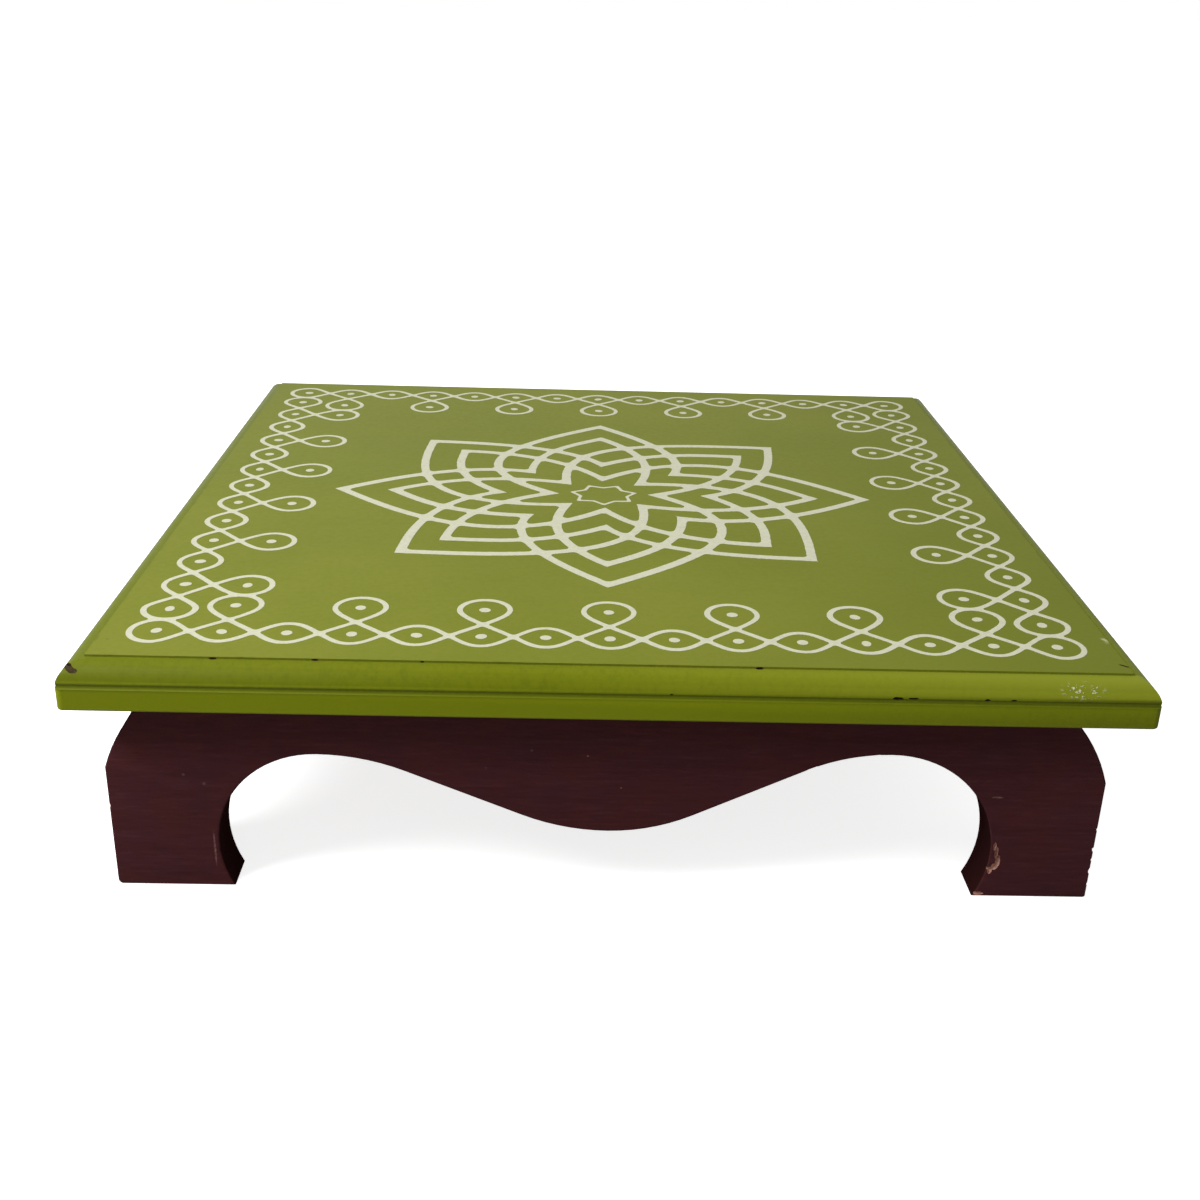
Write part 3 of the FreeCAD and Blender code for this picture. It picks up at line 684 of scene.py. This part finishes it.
# %% [markdown]
# The legs took most knocks at the right: down the inside of the right leg, along its outer edge and at
# its toe. The same lenses cut these chips, but fresh wood shows in them. The outer corners of both legs
# wore round at the floor before the last coat, so one large smooth lens takes each of them off and
# leaves painted faces.

# %% Chips on the front board
CHIPS = [
    # place, size along X, Y and Z, turn
    ((143.0, -180.1, 22.0), (1.2, 1.6, 3.6), 0), ((143.9, -180.1, 19.0), (1.4, 1.8, 5.0), 0),
    ((144.8, -180.1, 15.6), (1.9, 2.0, 5.4), 0), ((143.9, -180.1, 13.2), (2.8, 2.0, 3.0), 0),
    ((142.3, -180.0, 11.6), (1.9, 1.9, 3.0), 0), ((141.4, -179.9, 12.4), (0.9, 1.4, 1.3), 0),
    ((139.0, -180.0, 1.4), (4.4, 1.7, 1.4), 0), ((136.6, -179.7, 3.1), (1.8, 1.5, 1.2), 0),
    ((180.2, -179.4, 29.8), (1.7, 5.0, 1.8), 0), ((180.1, -179.4, 21.0), (2.0, 6.0, 2.4), 0),
    ((180.2, -179.4, 16.6), (1.8, 5.0, 1.6), 0), ((180.1, -179.4, 11.6), (1.9, 6.0, 3.0), 0),
    ((180.2, -179.4, 6.0), (1.5, 4.4, 1.6), 0), ((-180.1, -179.6, 33.2), (1.4, 2.6, 1.8), 0),
]
WORN_CORNERS = [
    ((-184.0, -179.0, -4.0), (14.4, 30.0, 14.4)), ((184.0, -179.0, -4.0), (13.6, 28.0, 13.6)),
]
chipped_front = working_copy("front_board", "chipped_front")
chipped_front.data.materials.clear()
chipped_front.data.materials.append(maroon_long)
carve(chipped_front, [lens(*chip) for chip in CHIPS], chip_wood)
carve(chipped_front, [lens(*corner, rough=0.01) for corner in WORN_CORNERS], maroon_long)
bpy.ops.object.shade_smooth_by_angle(angle=SMOOTH_TURN)
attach(chipped_front, "root")
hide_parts("front_board")
print("chipped front:", len(chipped_front.data.polygons), "faces with", len(CHIPS), "chips")


# %% [markdown]
# The kolam has a border and a lotus. Each side of the border is one endless line: it runs along a row
# of dots, passing over one and under the next, turns round the last dot and comes back the other
# way, so that the two passes cross between the dots. Over every second dot the inner pass takes a loop
# round one more dot. A line like this is a smooth curve through a few knots, each with a place, a
# direction and a handle length, so a Bezier curve suits it.

# %% One side of the border
PITCH = 23.1 * MM
SIDE_PITCH = 23.6 * MM
LOOP_REACH = 23.6 * MM
LOOP_RADIUS = 9.4 * MM
CREST = 8.1 * MM
# the angle in degrees at which the line crosses its row, and the handle that draws a quarter circle
CROSSING = 44.0
ROUND = 0.5523
# handle lengths: from one kind of knot towards the next, as shares of the pitch
CHAIN_SHARES = {
    ("cross", "crest"): 0.22, ("crest", "cross"): 0.21, ("cross", "side"): 0.62, ("cross", "far"): 0.22,
}
# and as shares of a loop's radius
LOOP_SHARES = {
    ("side", "cross"): 0.72, ("side", "far"): ROUND, ("far", "side"): ROUND, ("far", "cross"): 0.42,
}


def border_knots(count, pitch):
    """Knots of one endless line round a row of dots: kind, place and direction of travel."""
    knots = []
    middle = (count - 1) / 2
    for way in (1, -1):
        cells = range(count) if way > 0 else range(count - 1, -1, -1)
        heading = 0.0 if way > 0 else 180.0
        for step, cell in enumerate(cells):
            x = (cell - middle) * pitch
            side = way if cell % 2 == 0 else -way
            if step > 0:
                knots.append(("cross", x - way * pitch / 2, 0.0, heading + way * side * CROSSING))
            if side > 0 and cell % 2 == 1:
                knots.append(("side", x + way * LOOP_RADIUS, LOOP_REACH, 90.0))
                knots.append(("far", x, LOOP_REACH + LOOP_RADIUS, heading + 180.0))
                knots.append(("side", x - way * LOOP_RADIUS, LOOP_REACH, -90.0))
            elif step in (0, count - 1):
                knots.append(("far", x, side * LOOP_RADIUS, heading))
                if step > 0:
                    knots.append(("side", x + way * LOOP_RADIUS, 0.0, -90.0 * side))
            else:
                knots.append(("crest", x, side * CREST, heading))
    return knots


def handle(kind, neighbour, pitch):
    """How long a knot's handle is on the side of its neighbour."""
    if (kind, neighbour) in LOOP_SHARES:
        return LOOP_SHARES[kind, neighbour] * LOOP_RADIUS
    return CHAIN_SHARES[kind, neighbour] * pitch


print("knots round five dots:", len(border_knots(5, PITCH)))


# %% [markdown]
# A brush full of paint, or a squeezed paper cone, lays a bead along the line. A curve with a round
# bevel is that bead, and its width varies a little from knot to knot, as a hand does. The two rows along
# the front and back have 15 dots, and the two at the sides have 13 dots set a little wider.

# %% The border
BORDER_WIDTH = 2.45 * MM
BORDER_WEB = 0.5 * MM
PRINT_SHIFT = -0.75 * MM
ROW_OUT, COLUMN_OUT = 161.0 * MM, 161.9 * MM
ROW_DOTS, COLUMN_DOTS = 15, 13
SIDES = [
    # dots, pitch, turn, place of the row's middle
    (ROW_DOTS, PITCH, 0.0, Vector((PRINT_SHIFT, -ROW_OUT, 0.0))),
    (ROW_DOTS, PITCH, 180.0, Vector((PRINT_SHIFT, ROW_OUT, 0.0))),
    (COLUMN_DOTS, SIDE_PITCH, -90.0, Vector((PRINT_SHIFT - COLUMN_OUT, 0.0, 0.0))),
    (COLUMN_DOTS, SIDE_PITCH, 90.0, Vector((PRINT_SHIFT + COLUMN_OUT, 0.0, 0.0))),
]


def draw(curve, knots, closed):
    """Adds one Bezier line. A knot here is its place and the places of its two handles."""
    line = curve.splines.new("BEZIER")
    line.bezier_points.add(len(knots) - 1)
    line.use_cyclic_u = closed
    for point, (place, before, after) in zip(line.bezier_points, knots):
        point.handle_left_type = point.handle_right_type = "FREE"
        point.co = place
        point.handle_left = before
        point.handle_right = after
        point.radius = random.uniform(0.95, 1.07)


def heading_of(angle):
    """A step of one along an angle in degrees, from +X towards +Y."""
    return Vector((math.cos(math.radians(angle)), math.sin(math.radians(angle)), 0.0))


def border_line(curve, count, pitch, turn, place):
    """Draws one side of the border, and counts its knots."""
    knots = border_knots(count, pitch)
    lay = Matrix.Translation(place) @ Matrix.Rotation(math.radians(turn), 4, "Z")
    drawn = []
    for number, (kind, x, y, angle) in enumerate(knots):
        earlier, later = knots[number - 1][0], knots[(number + 1) % len(knots)][0]
        here, way = Vector((x, y, 0.0)), heading_of(angle)
        before = here - way * handle(kind, earlier, pitch)
        after = here + way * handle(kind, later, pitch)
        drawn.append([lay @ spot for spot in (here, before, after)])
    draw(curve, drawn, closed=True)
    return len(drawn)


def new_bead(name, width, web):
    """An empty curve that lays a round bead along each of its lines, too fat by the web."""
    curve = bpy.data.curves.new(name, "CURVE")
    curve.dimensions = "3D"
    curve.bevel_depth = width / 2 + web
    curve.bevel_resolution = 2
    curve.resolution_u = 10
    curve.use_fill_caps = True
    return curve


border_bead = new_bead("border_bead", BORDER_WIDTH, BORDER_WEB)
knot_count = sum(border_line(border_bead, *side) for side in SIDES)
print("border: four endless lines with", knot_count, "knots")


# %% [markdown]
# The lotus stands on eight arms with five dots each. Its lines join a dot far out on one arm to a dot near
# the middle on another, always by the same rule, and they end in points. From the fifth dot one line
# goes right to the second dot of the next arm, and another goes left to the first dot two arms away.
# From the fourth dot the lines go to the first dot on the right and to the second on the left. That makes
# 32 lines of four kinds, and together they form one endless line as well. The drawing is a little
# flatter from front to back.

# %% The lotus
LOTUS_WIDTH = 4.2 * MM
LOTUS_WEB = 1.2 * MM
ARM_PITCH = 23.95 * MM
ARMS = 8
FLATTENED = 0.907
LOTUS_MIDDLE = Vector((-0.4 * MM, -2.0 * MM, 0.0))
PETAL_LINES = [
    # outer dot, inner dot, arms to the right, then lean and handle at each of the two dots
    (5, 2, 1, 39.0, 14.0 * MM, 27.0, 40.0 * MM),
    (4, 1, 1, 41.0, 45.0 * MM, 30.0, 14.0 * MM),
    (4, 2, -1, 46.0, 14.0 * MM, 46.0, 38.0 * MM),
    (5, 1, -2, 49.0, 43.0 * MM, 40.0, 75.0 * MM),
]


def arm_heading(arm):
    """Arm 0 points to the back of the table, and the next ones follow to the right."""
    return heading_of(90.0 - 360.0 / ARMS * arm)


def turned(vector, angle):
    return Matrix.Rotation(math.radians(angle), 3, "Z") @ vector


def petal_line(curve, arm, outer, inner, arms, outer_lean, outer_handle, inner_lean, inner_handle):
    """Draws one line from an outer dot to an inner one, and tells how it leaves each of them."""
    right = 1 if arms > 0 else -1
    start_way = turned(-arm_heading(arm), right * outer_lean)
    end_way = turned(arm_heading(arm + arms), right * inner_lean)
    start = arm_heading(arm) * outer * ARM_PITCH
    end = arm_heading(arm + arms) * inner * ARM_PITCH
    spots = [
        (start, start - start_way, start + start_way * outer_handle),
        (end, end + end_way * inner_handle, end - end_way),
    ]
    flatten = Matrix.Diagonal((1.0, FLATTENED, 1.0))
    draw(curve, [[flatten @ spot + LOTUS_MIDDLE for spot in knot] for knot in spots], closed=False)
    return [
        ((arm, outer), flatten @ start + LOTUS_MIDDLE, (flatten @ start_way).normalized()),
        (((arm + arms) % ARMS, inner), flatten @ end + LOTUS_MIDDLE, (flatten @ end_way).normalized()),
    ]


def point_of(curve, place, ways):
    """Adds the mitred point in which two lines end: a cone as sharp as the angle between them."""
    half = ways[0].angle(ways[1]) / 2
    ahead = -(ways[0] + ways[1]).normalized()
    spike = curve.splines.new("POLY")
    spike.points.add(1)
    reach = curve.bevel_depth / math.sin(half)
    tip = place + ahead * reach
    for point, spot, radius in zip(spike.points, (place, tip), (1 / math.cos(half), 0.03)):
        point.co = (*spot, 1.0)
        point.radius = radius


lotus_bead = new_bead("lotus_bead", LOTUS_WIDTH, LOTUS_WEB)
lotus_bead.resolution_u = 24
ends = {}
for arm in range(ARMS):
    for rule in PETAL_LINES:
        for name, place, way in petal_line(lotus_bead, arm, *rule):
            ends.setdefault(name, (place, []))[1].append(way)
for place, ways in ends.values():
    point_of(lotus_bead, place, ways)
print("lotus:", ARMS * len(PETAL_LINES), "lines and", len(ends), "points")


# %% [markdown]
# In the very middle is a small star of seven points in a thin line. Dots fill the border: one inside each
# cell and one inside each loop. A dot is a blob of paint, set down once and never quite round.

# %% The star and the dots
STAR_WIDTH = 1.7 * MM
STAR_WEB = 0.2 * MM
STAR_POINTS = 7
STAR_OUT, STAR_IN = 14.9 * MM, 10.8 * MM
STAR_MIDDLE = LOTUS_MIDDLE + Vector((0.0, -0.8 * MM, 0.0))
# how far the star's sides run past its corners, as a share of their width, for sharp points
OVERRUN = 0.35
DOT_RADIUS = 2.15 * MM

star_bead = new_bead("star_bead", STAR_WIDTH, STAR_WEB)
star_corners = []
for corner in range(2 * STAR_POINTS):
    away = STAR_OUT if corner % 2 == 0 else STAR_IN
    spot = heading_of(-90.0 + 180.0 / STAR_POINTS * corner) * away
    star_corners.append(Vector((spot.x, spot.y * FLATTENED, 0.0)) + STAR_MIDDLE)
for here, there in zip(star_corners, star_corners[1:] + star_corners[:1]):
    way = (there - here).normalized() * STAR_WIDTH * OVERRUN
    start = (here - way, here - way * 2, here + way)
    end = (there + way, there - way, there + way * 2)
    draw(star_bead, [start, end], closed=False)


def dot_places():
    """The middle of every cell and loop of the border."""
    places = []
    for count, pitch, turn, origin in SIDES:
        lay = Matrix.Translation(origin) @ Matrix.Rotation(math.radians(turn), 4, "Z")
        for cell in range(count):
            x = (cell - (count - 1) / 2) * pitch
            places.append(lay @ Vector((x, 0.0, 0.0)))
            if cell % 2 == 1:
                places.append(lay @ Vector((x, LOOP_REACH, 0.0)))
    return places


def blob(place):
    """One flat, uneven drop of paint."""
    bpy.ops.mesh.primitive_uv_sphere_add(segments=14, ring_count=8, radius=DOT_RADIUS, location=(0, 0, 0))
    drop = bpy.context.object
    bpy.ops.object.mode_set(mode="EDIT")
    bpy.ops.mesh.select_all(action="SELECT")
    stretch = random.uniform(0.94, 1.08)
    bpy.ops.transform.resize(value=(stretch, random.uniform(0.86, 0.98) / stretch, 0.7))
    bpy.ops.object.mode_set(mode="OBJECT")
    drop.data.transform(Matrix.Translation(place) @ Matrix.Rotation(random.uniform(0, 3.1), 4, "Z"))
    return drop


drops = [blob(place) for place in dot_places()]
print("dots:", len(drops))


# %% [markdown]
# Wet paint runs together where lines cross and fills the sharp inner corners. The beads were made too fat
# for that reason. A voxel remesh takes all of them as one volume and wraps a new skin round it. Then the
# skin is drawn in again by as much as the beads were too fat, which leaves the corners filled, and a
# little smoothing takes away the steps of the voxels.

# %% Beads that run together
VOXEL = 0.42 * MM


def wrap(whole):
    """Wraps one new skin round all the volumes of a piece."""
    skin = whole.modifiers.new("skin", "REMESH")
    skin.mode = "VOXEL"
    skin.voxel_size = VOXEL
    bpy.ops.object.modifier_apply(modifier=skin.name)


def merged(name, curve, web):
    """Turns a curve's beads into one skin, thinned again by their web."""
    whole = bpy.data.objects.new(name, curve)
    bpy.context.scene.collection.objects.link(whole)
    only(whole)
    bpy.ops.object.convert(target="MESH")
    whole = bpy.context.object
    wrap(whole)
    thin = whole.modifiers.new("thin", "DISPLACE")
    thin.strength = -web
    thin.mid_level = 0.0
    bpy.ops.object.modifier_apply(modifier=thin.name)
    wrap(whole)
    settle = whole.modifiers.new("settle", "SMOOTH")
    settle.factor = 0.5
    settle.iterations = 4
    bpy.ops.object.modifier_apply(modifier=settle.name)
    return whole


def join_in(whole, solids):
    """Adds loose closed solids to a piece before it is pressed flat."""
    only(whole)
    for solid in solids:
        solid.select_set(True)
    bpy.ops.object.join()


print("voxels in the width of a line:", round(BORDER_WIDTH / VOXEL, 1))


# %% [markdown]
# What shows on the table is only the outline of that skin. So a slice is taken through it and filled,
# which gives a flat drawing without needless points. Flecks too small to be a stroke are cleared away.
# Last, the drawing gets the thickness of a coat of paint, with its underside sunk a little into the enamel.

# %% A coat of paint
# the slice lies a little off the middle, clear of the voxels' own layers
SLICE_LEVEL = 0.17 * VOXEL
SMALLEST_STROKE = 2.6 * MM
# how far the coat stays below the table's height, and how far it goes down into the enamel
CLEARANCE = 0.005 * MM
SUNK = 0.02 * MM


def clear_specks(whole, smallest):
    """Takes away loose flecks that are too small to be a stroke or a dot."""
    name = whole.name
    only(whole)
    bpy.ops.mesh.separate(type="LOOSE")
    islands = sorted(bpy.context.selected_objects, key=lambda island: len(island.data.vertices))
    bpy.ops.object.select_all(action="DESELECT")
    specks = [island for island in islands if max(island.dimensions) < smallest]
    for speck in specks:
        bpy.data.objects.remove(speck)
    kept = islands[len(specks):]
    for island in kept:
        island.select_set(True)
    bpy.context.view_layer.objects.active = kept[-1]
    bpy.ops.object.join()
    kept[-1].name = name
    print(name, "islands:", len(kept), "specks:", len(specks))
    return kept[-1]


def press_flat(whole):
    """Takes a slice through the skin, fills it and gives it the thickness of the paint."""
    only(whole)
    bpy.ops.object.mode_set(mode="EDIT")
    bpy.ops.mesh.select_all(action="SELECT")
    bpy.ops.mesh.bisect(
        plane_co=(0, 0, SLICE_LEVEL), plane_no=(0, 0, 1),
        clear_inner=True, clear_outer=True, threshold=SAME_POINT)
    bpy.ops.mesh.select_all(action="SELECT")
    bpy.ops.mesh.fill(use_beauty=True)
    bpy.ops.object.mode_set(mode="OBJECT")
    whole = clear_specks(whole, SMALLEST_STROKE)
    if sum(face.normal.z * face.area for face in whole.data.polygons) < 0:
        whole.data.flip_normals()
    whole.data.transform(Matrix.Translation((0.0, 0.0, TOP_HEIGHT - SLICE_LEVEL - CLEARANCE)))
    coat = whole.modifiers.new("coat", "SOLIDIFY")
    coat.thickness = PAINT_FILM + SUNK
    coat.offset = -1.0
    bpy.ops.object.modifier_apply(modifier=coat.name)
    bpy.ops.object.shade_flat()
    return whole


for name, curve, web, solids in (
    ("kolam_border", border_bead, BORDER_WEB, drops),
    ("kolam_lotus", lotus_bead, LOTUS_WEB, []),
    ("kolam_star", star_bead, STAR_WEB, []),
):
    paint_work = merged(name, curve, web)
    if solids:
        join_in(paint_work, solids)
    paint_work = press_flat(paint_work)
    paint_work.data.materials.clear()
    paint_work.data.materials.append(white_paint)
    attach(paint_work, "root")
    print(name, len(paint_work.data.polygons), "faces")


# %% [markdown]
# The table stands on a pale floor that fades into a white background. The floor is white for the eye
# alone: seen directly it glows, less round the table so that its shadow stays, and a reflection finds
# it white only far off. For all other light it is grey, which keeps the space under the table dark.

# %% Floor
FLOOR_GLOW = 0.80
WHITE = (1.0, 1.0, 1.0, 1.0)


def seen_rays(material):
    """One for rays straight from the eye, and one for those that came by a reflection or glass."""
    rays = add(material, "LightPath").outputs
    mirrored = sums(material, "MAXIMUM", rays["Is Glossy Ray"], rays["Is Transmission Ray"])
    return rays["Is Camera Ray"], mirrored


def pale_floor():
    paint, shader = new_paint("pale_floor", Roughness=0.8, Specular_IOR_Level=0.1, Emission_Color=WHITE)
    place = add(paint, "TexCoord").outputs["Object"]
    away = length(paint, place)
    camera_ray, mirrored = seen_rays(paint)
    cloudy = noise(paint, place, 60.0, detail=4.0)
    white = blend(paint, cloudy, colour(252, 252, 252), colour(255, 255, 255))
    feed(paint, shader.inputs["Base Color"], blend(paint, camera_ray, colour(150, 150, 148), white))
    direct = both(paint, spread(paint, away, 0.30, 0.75, FLOOR_GLOW, 1.0, smooth=True), camera_ray)
    far_off = both(paint, spread(paint, away, 0.45, 0.90, smooth=True), mirrored)
    feed(paint, shader.inputs["Emission Strength"], sums(paint, "MAXIMUM", direct, far_off))
    return paint


bpy.ops.mesh.primitive_plane_add(size=30.0, location=(0.0, 0.0, FLOOR_HEIGHT))
floor = bpy.context.object
floor.name = "floor"
floor.data.materials.append(pale_floor())
print("floor at", round(FLOOR_HEIGHT, 4), "m")


# %% [markdown]
# The sky is white to the eye too, but it lights the table softly, and more from the back right, so that
# the sides turned away from the lamp aren't black. Reflections see a room: white walls near the horizon,
# dimmer to the right and behind the camera, and almost dark overhead. The satin top would look
# milky under a sky that is white right up.

# %% Sky
SKY_LIGHT = 0.24
SKY_BEHIND = 0.56
SKY_ABOVE = 0.06

world = bpy.data.worlds.new("studio_sky")
bpy.context.scene.world = world
world.use_nodes = True
world.node_tree.nodes.clear()
camera_ray, mirrored = seen_rays(world)
right, back, up = split(world, add(world, "TexCoord").outputs["Generated"])
side_wall = spread(world, right, -0.40, 0.40, 1.0, 0.18, smooth=True)
wall = both(world, side_wall, spread(world, back, -0.35, 0.25, 0.35, 1.0, smooth=True))
reflected = spread(world, up, 0.14, 0.64, wall, SKY_ABOVE, smooth=True)
back_right = sums(world, "ADD", both(world, right, 0.6), both(world, back, 0.8))
lit = spread(world, back_right, -0.2, 0.9, SKY_LIGHT, SKY_BEHIND, smooth=True)
unseen = spread(world, mirrored, 0.0, 1.0, lit, reflected)
strength = spread(world, camera_ray, 0.0, 1.0, unseen, 1.0)
glow = add(world, "Background", Color=WHITE, Strength=strength)
sky_out = world.node_tree.nodes.new("ShaderNodeOutputWorld")
world.node_tree.links.new(glow.outputs[0], sky_out.inputs["Surface"])
print("sky:", len(world.node_tree.nodes), "nodes")


# %% [markdown]
# One wide lamp hangs above the table, to the left and in front. It does most of the work, and its size
# keeps the shadows soft. Its power is set so that the top gets the light at which a colour comes out as it
# was written.

# %% Lamp
LAMP_PLACE = Vector((-0.98, -0.50, 1.28))
LAMP_AIM = Vector((0.0, 0.0, 0.05))
lamp = bpy.data.lights.new("overhead", "AREA")
lamp.shape = "RECTANGLE"
lamp.size = 0.9
lamp.size_y = 0.7
lamp.energy = 24.5
overhead = bpy.data.objects.new("overhead", lamp)
bpy.context.scene.collection.objects.link(overhead)
overhead.location = LAMP_PLACE
overhead.rotation_euler = (LAMP_AIM - LAMP_PLACE).to_track_quat("-Z", "Y").to_euler()
print("lamp of", lamp.energy, "W at", [round(v, 2) for v in LAMP_PLACE])


# %% [markdown]
# The photograph was taken from in front, a little above the table and close to it, with a slightly
# tilted camera. The aim is the point of the table that lies in the middle of the frame.

# %% Camera
CAMERA_PLACE = Vector((-17.2, -634.0, 311.9)) * MM
CAMERA_AIM = Vector((-3.9, -125.8, 94.5)) * MM
CAMERA_ROLL = math.radians(1.70)
camera = bpy.data.cameras.new("camera")
camera.sensor_width = 36.0
camera.lens = 43.54
viewer = bpy.data.objects.new("camera", camera)
bpy.context.scene.collection.objects.link(viewer)
look = (CAMERA_AIM - CAMERA_PLACE).to_track_quat("-Z", "Y").to_matrix().to_4x4()
viewer.matrix_world = Matrix.Translation(CAMERA_PLACE) @ look @ Matrix.Rotation(CAMERA_ROLL, 4, "Z")
bpy.context.scene.camera = viewer
bpy.context.scene.view_settings.view_transform = "Standard"
print("camera at", [round(v, 3) for v in CAMERA_PLACE], "with a lens of", camera.lens, "mm")
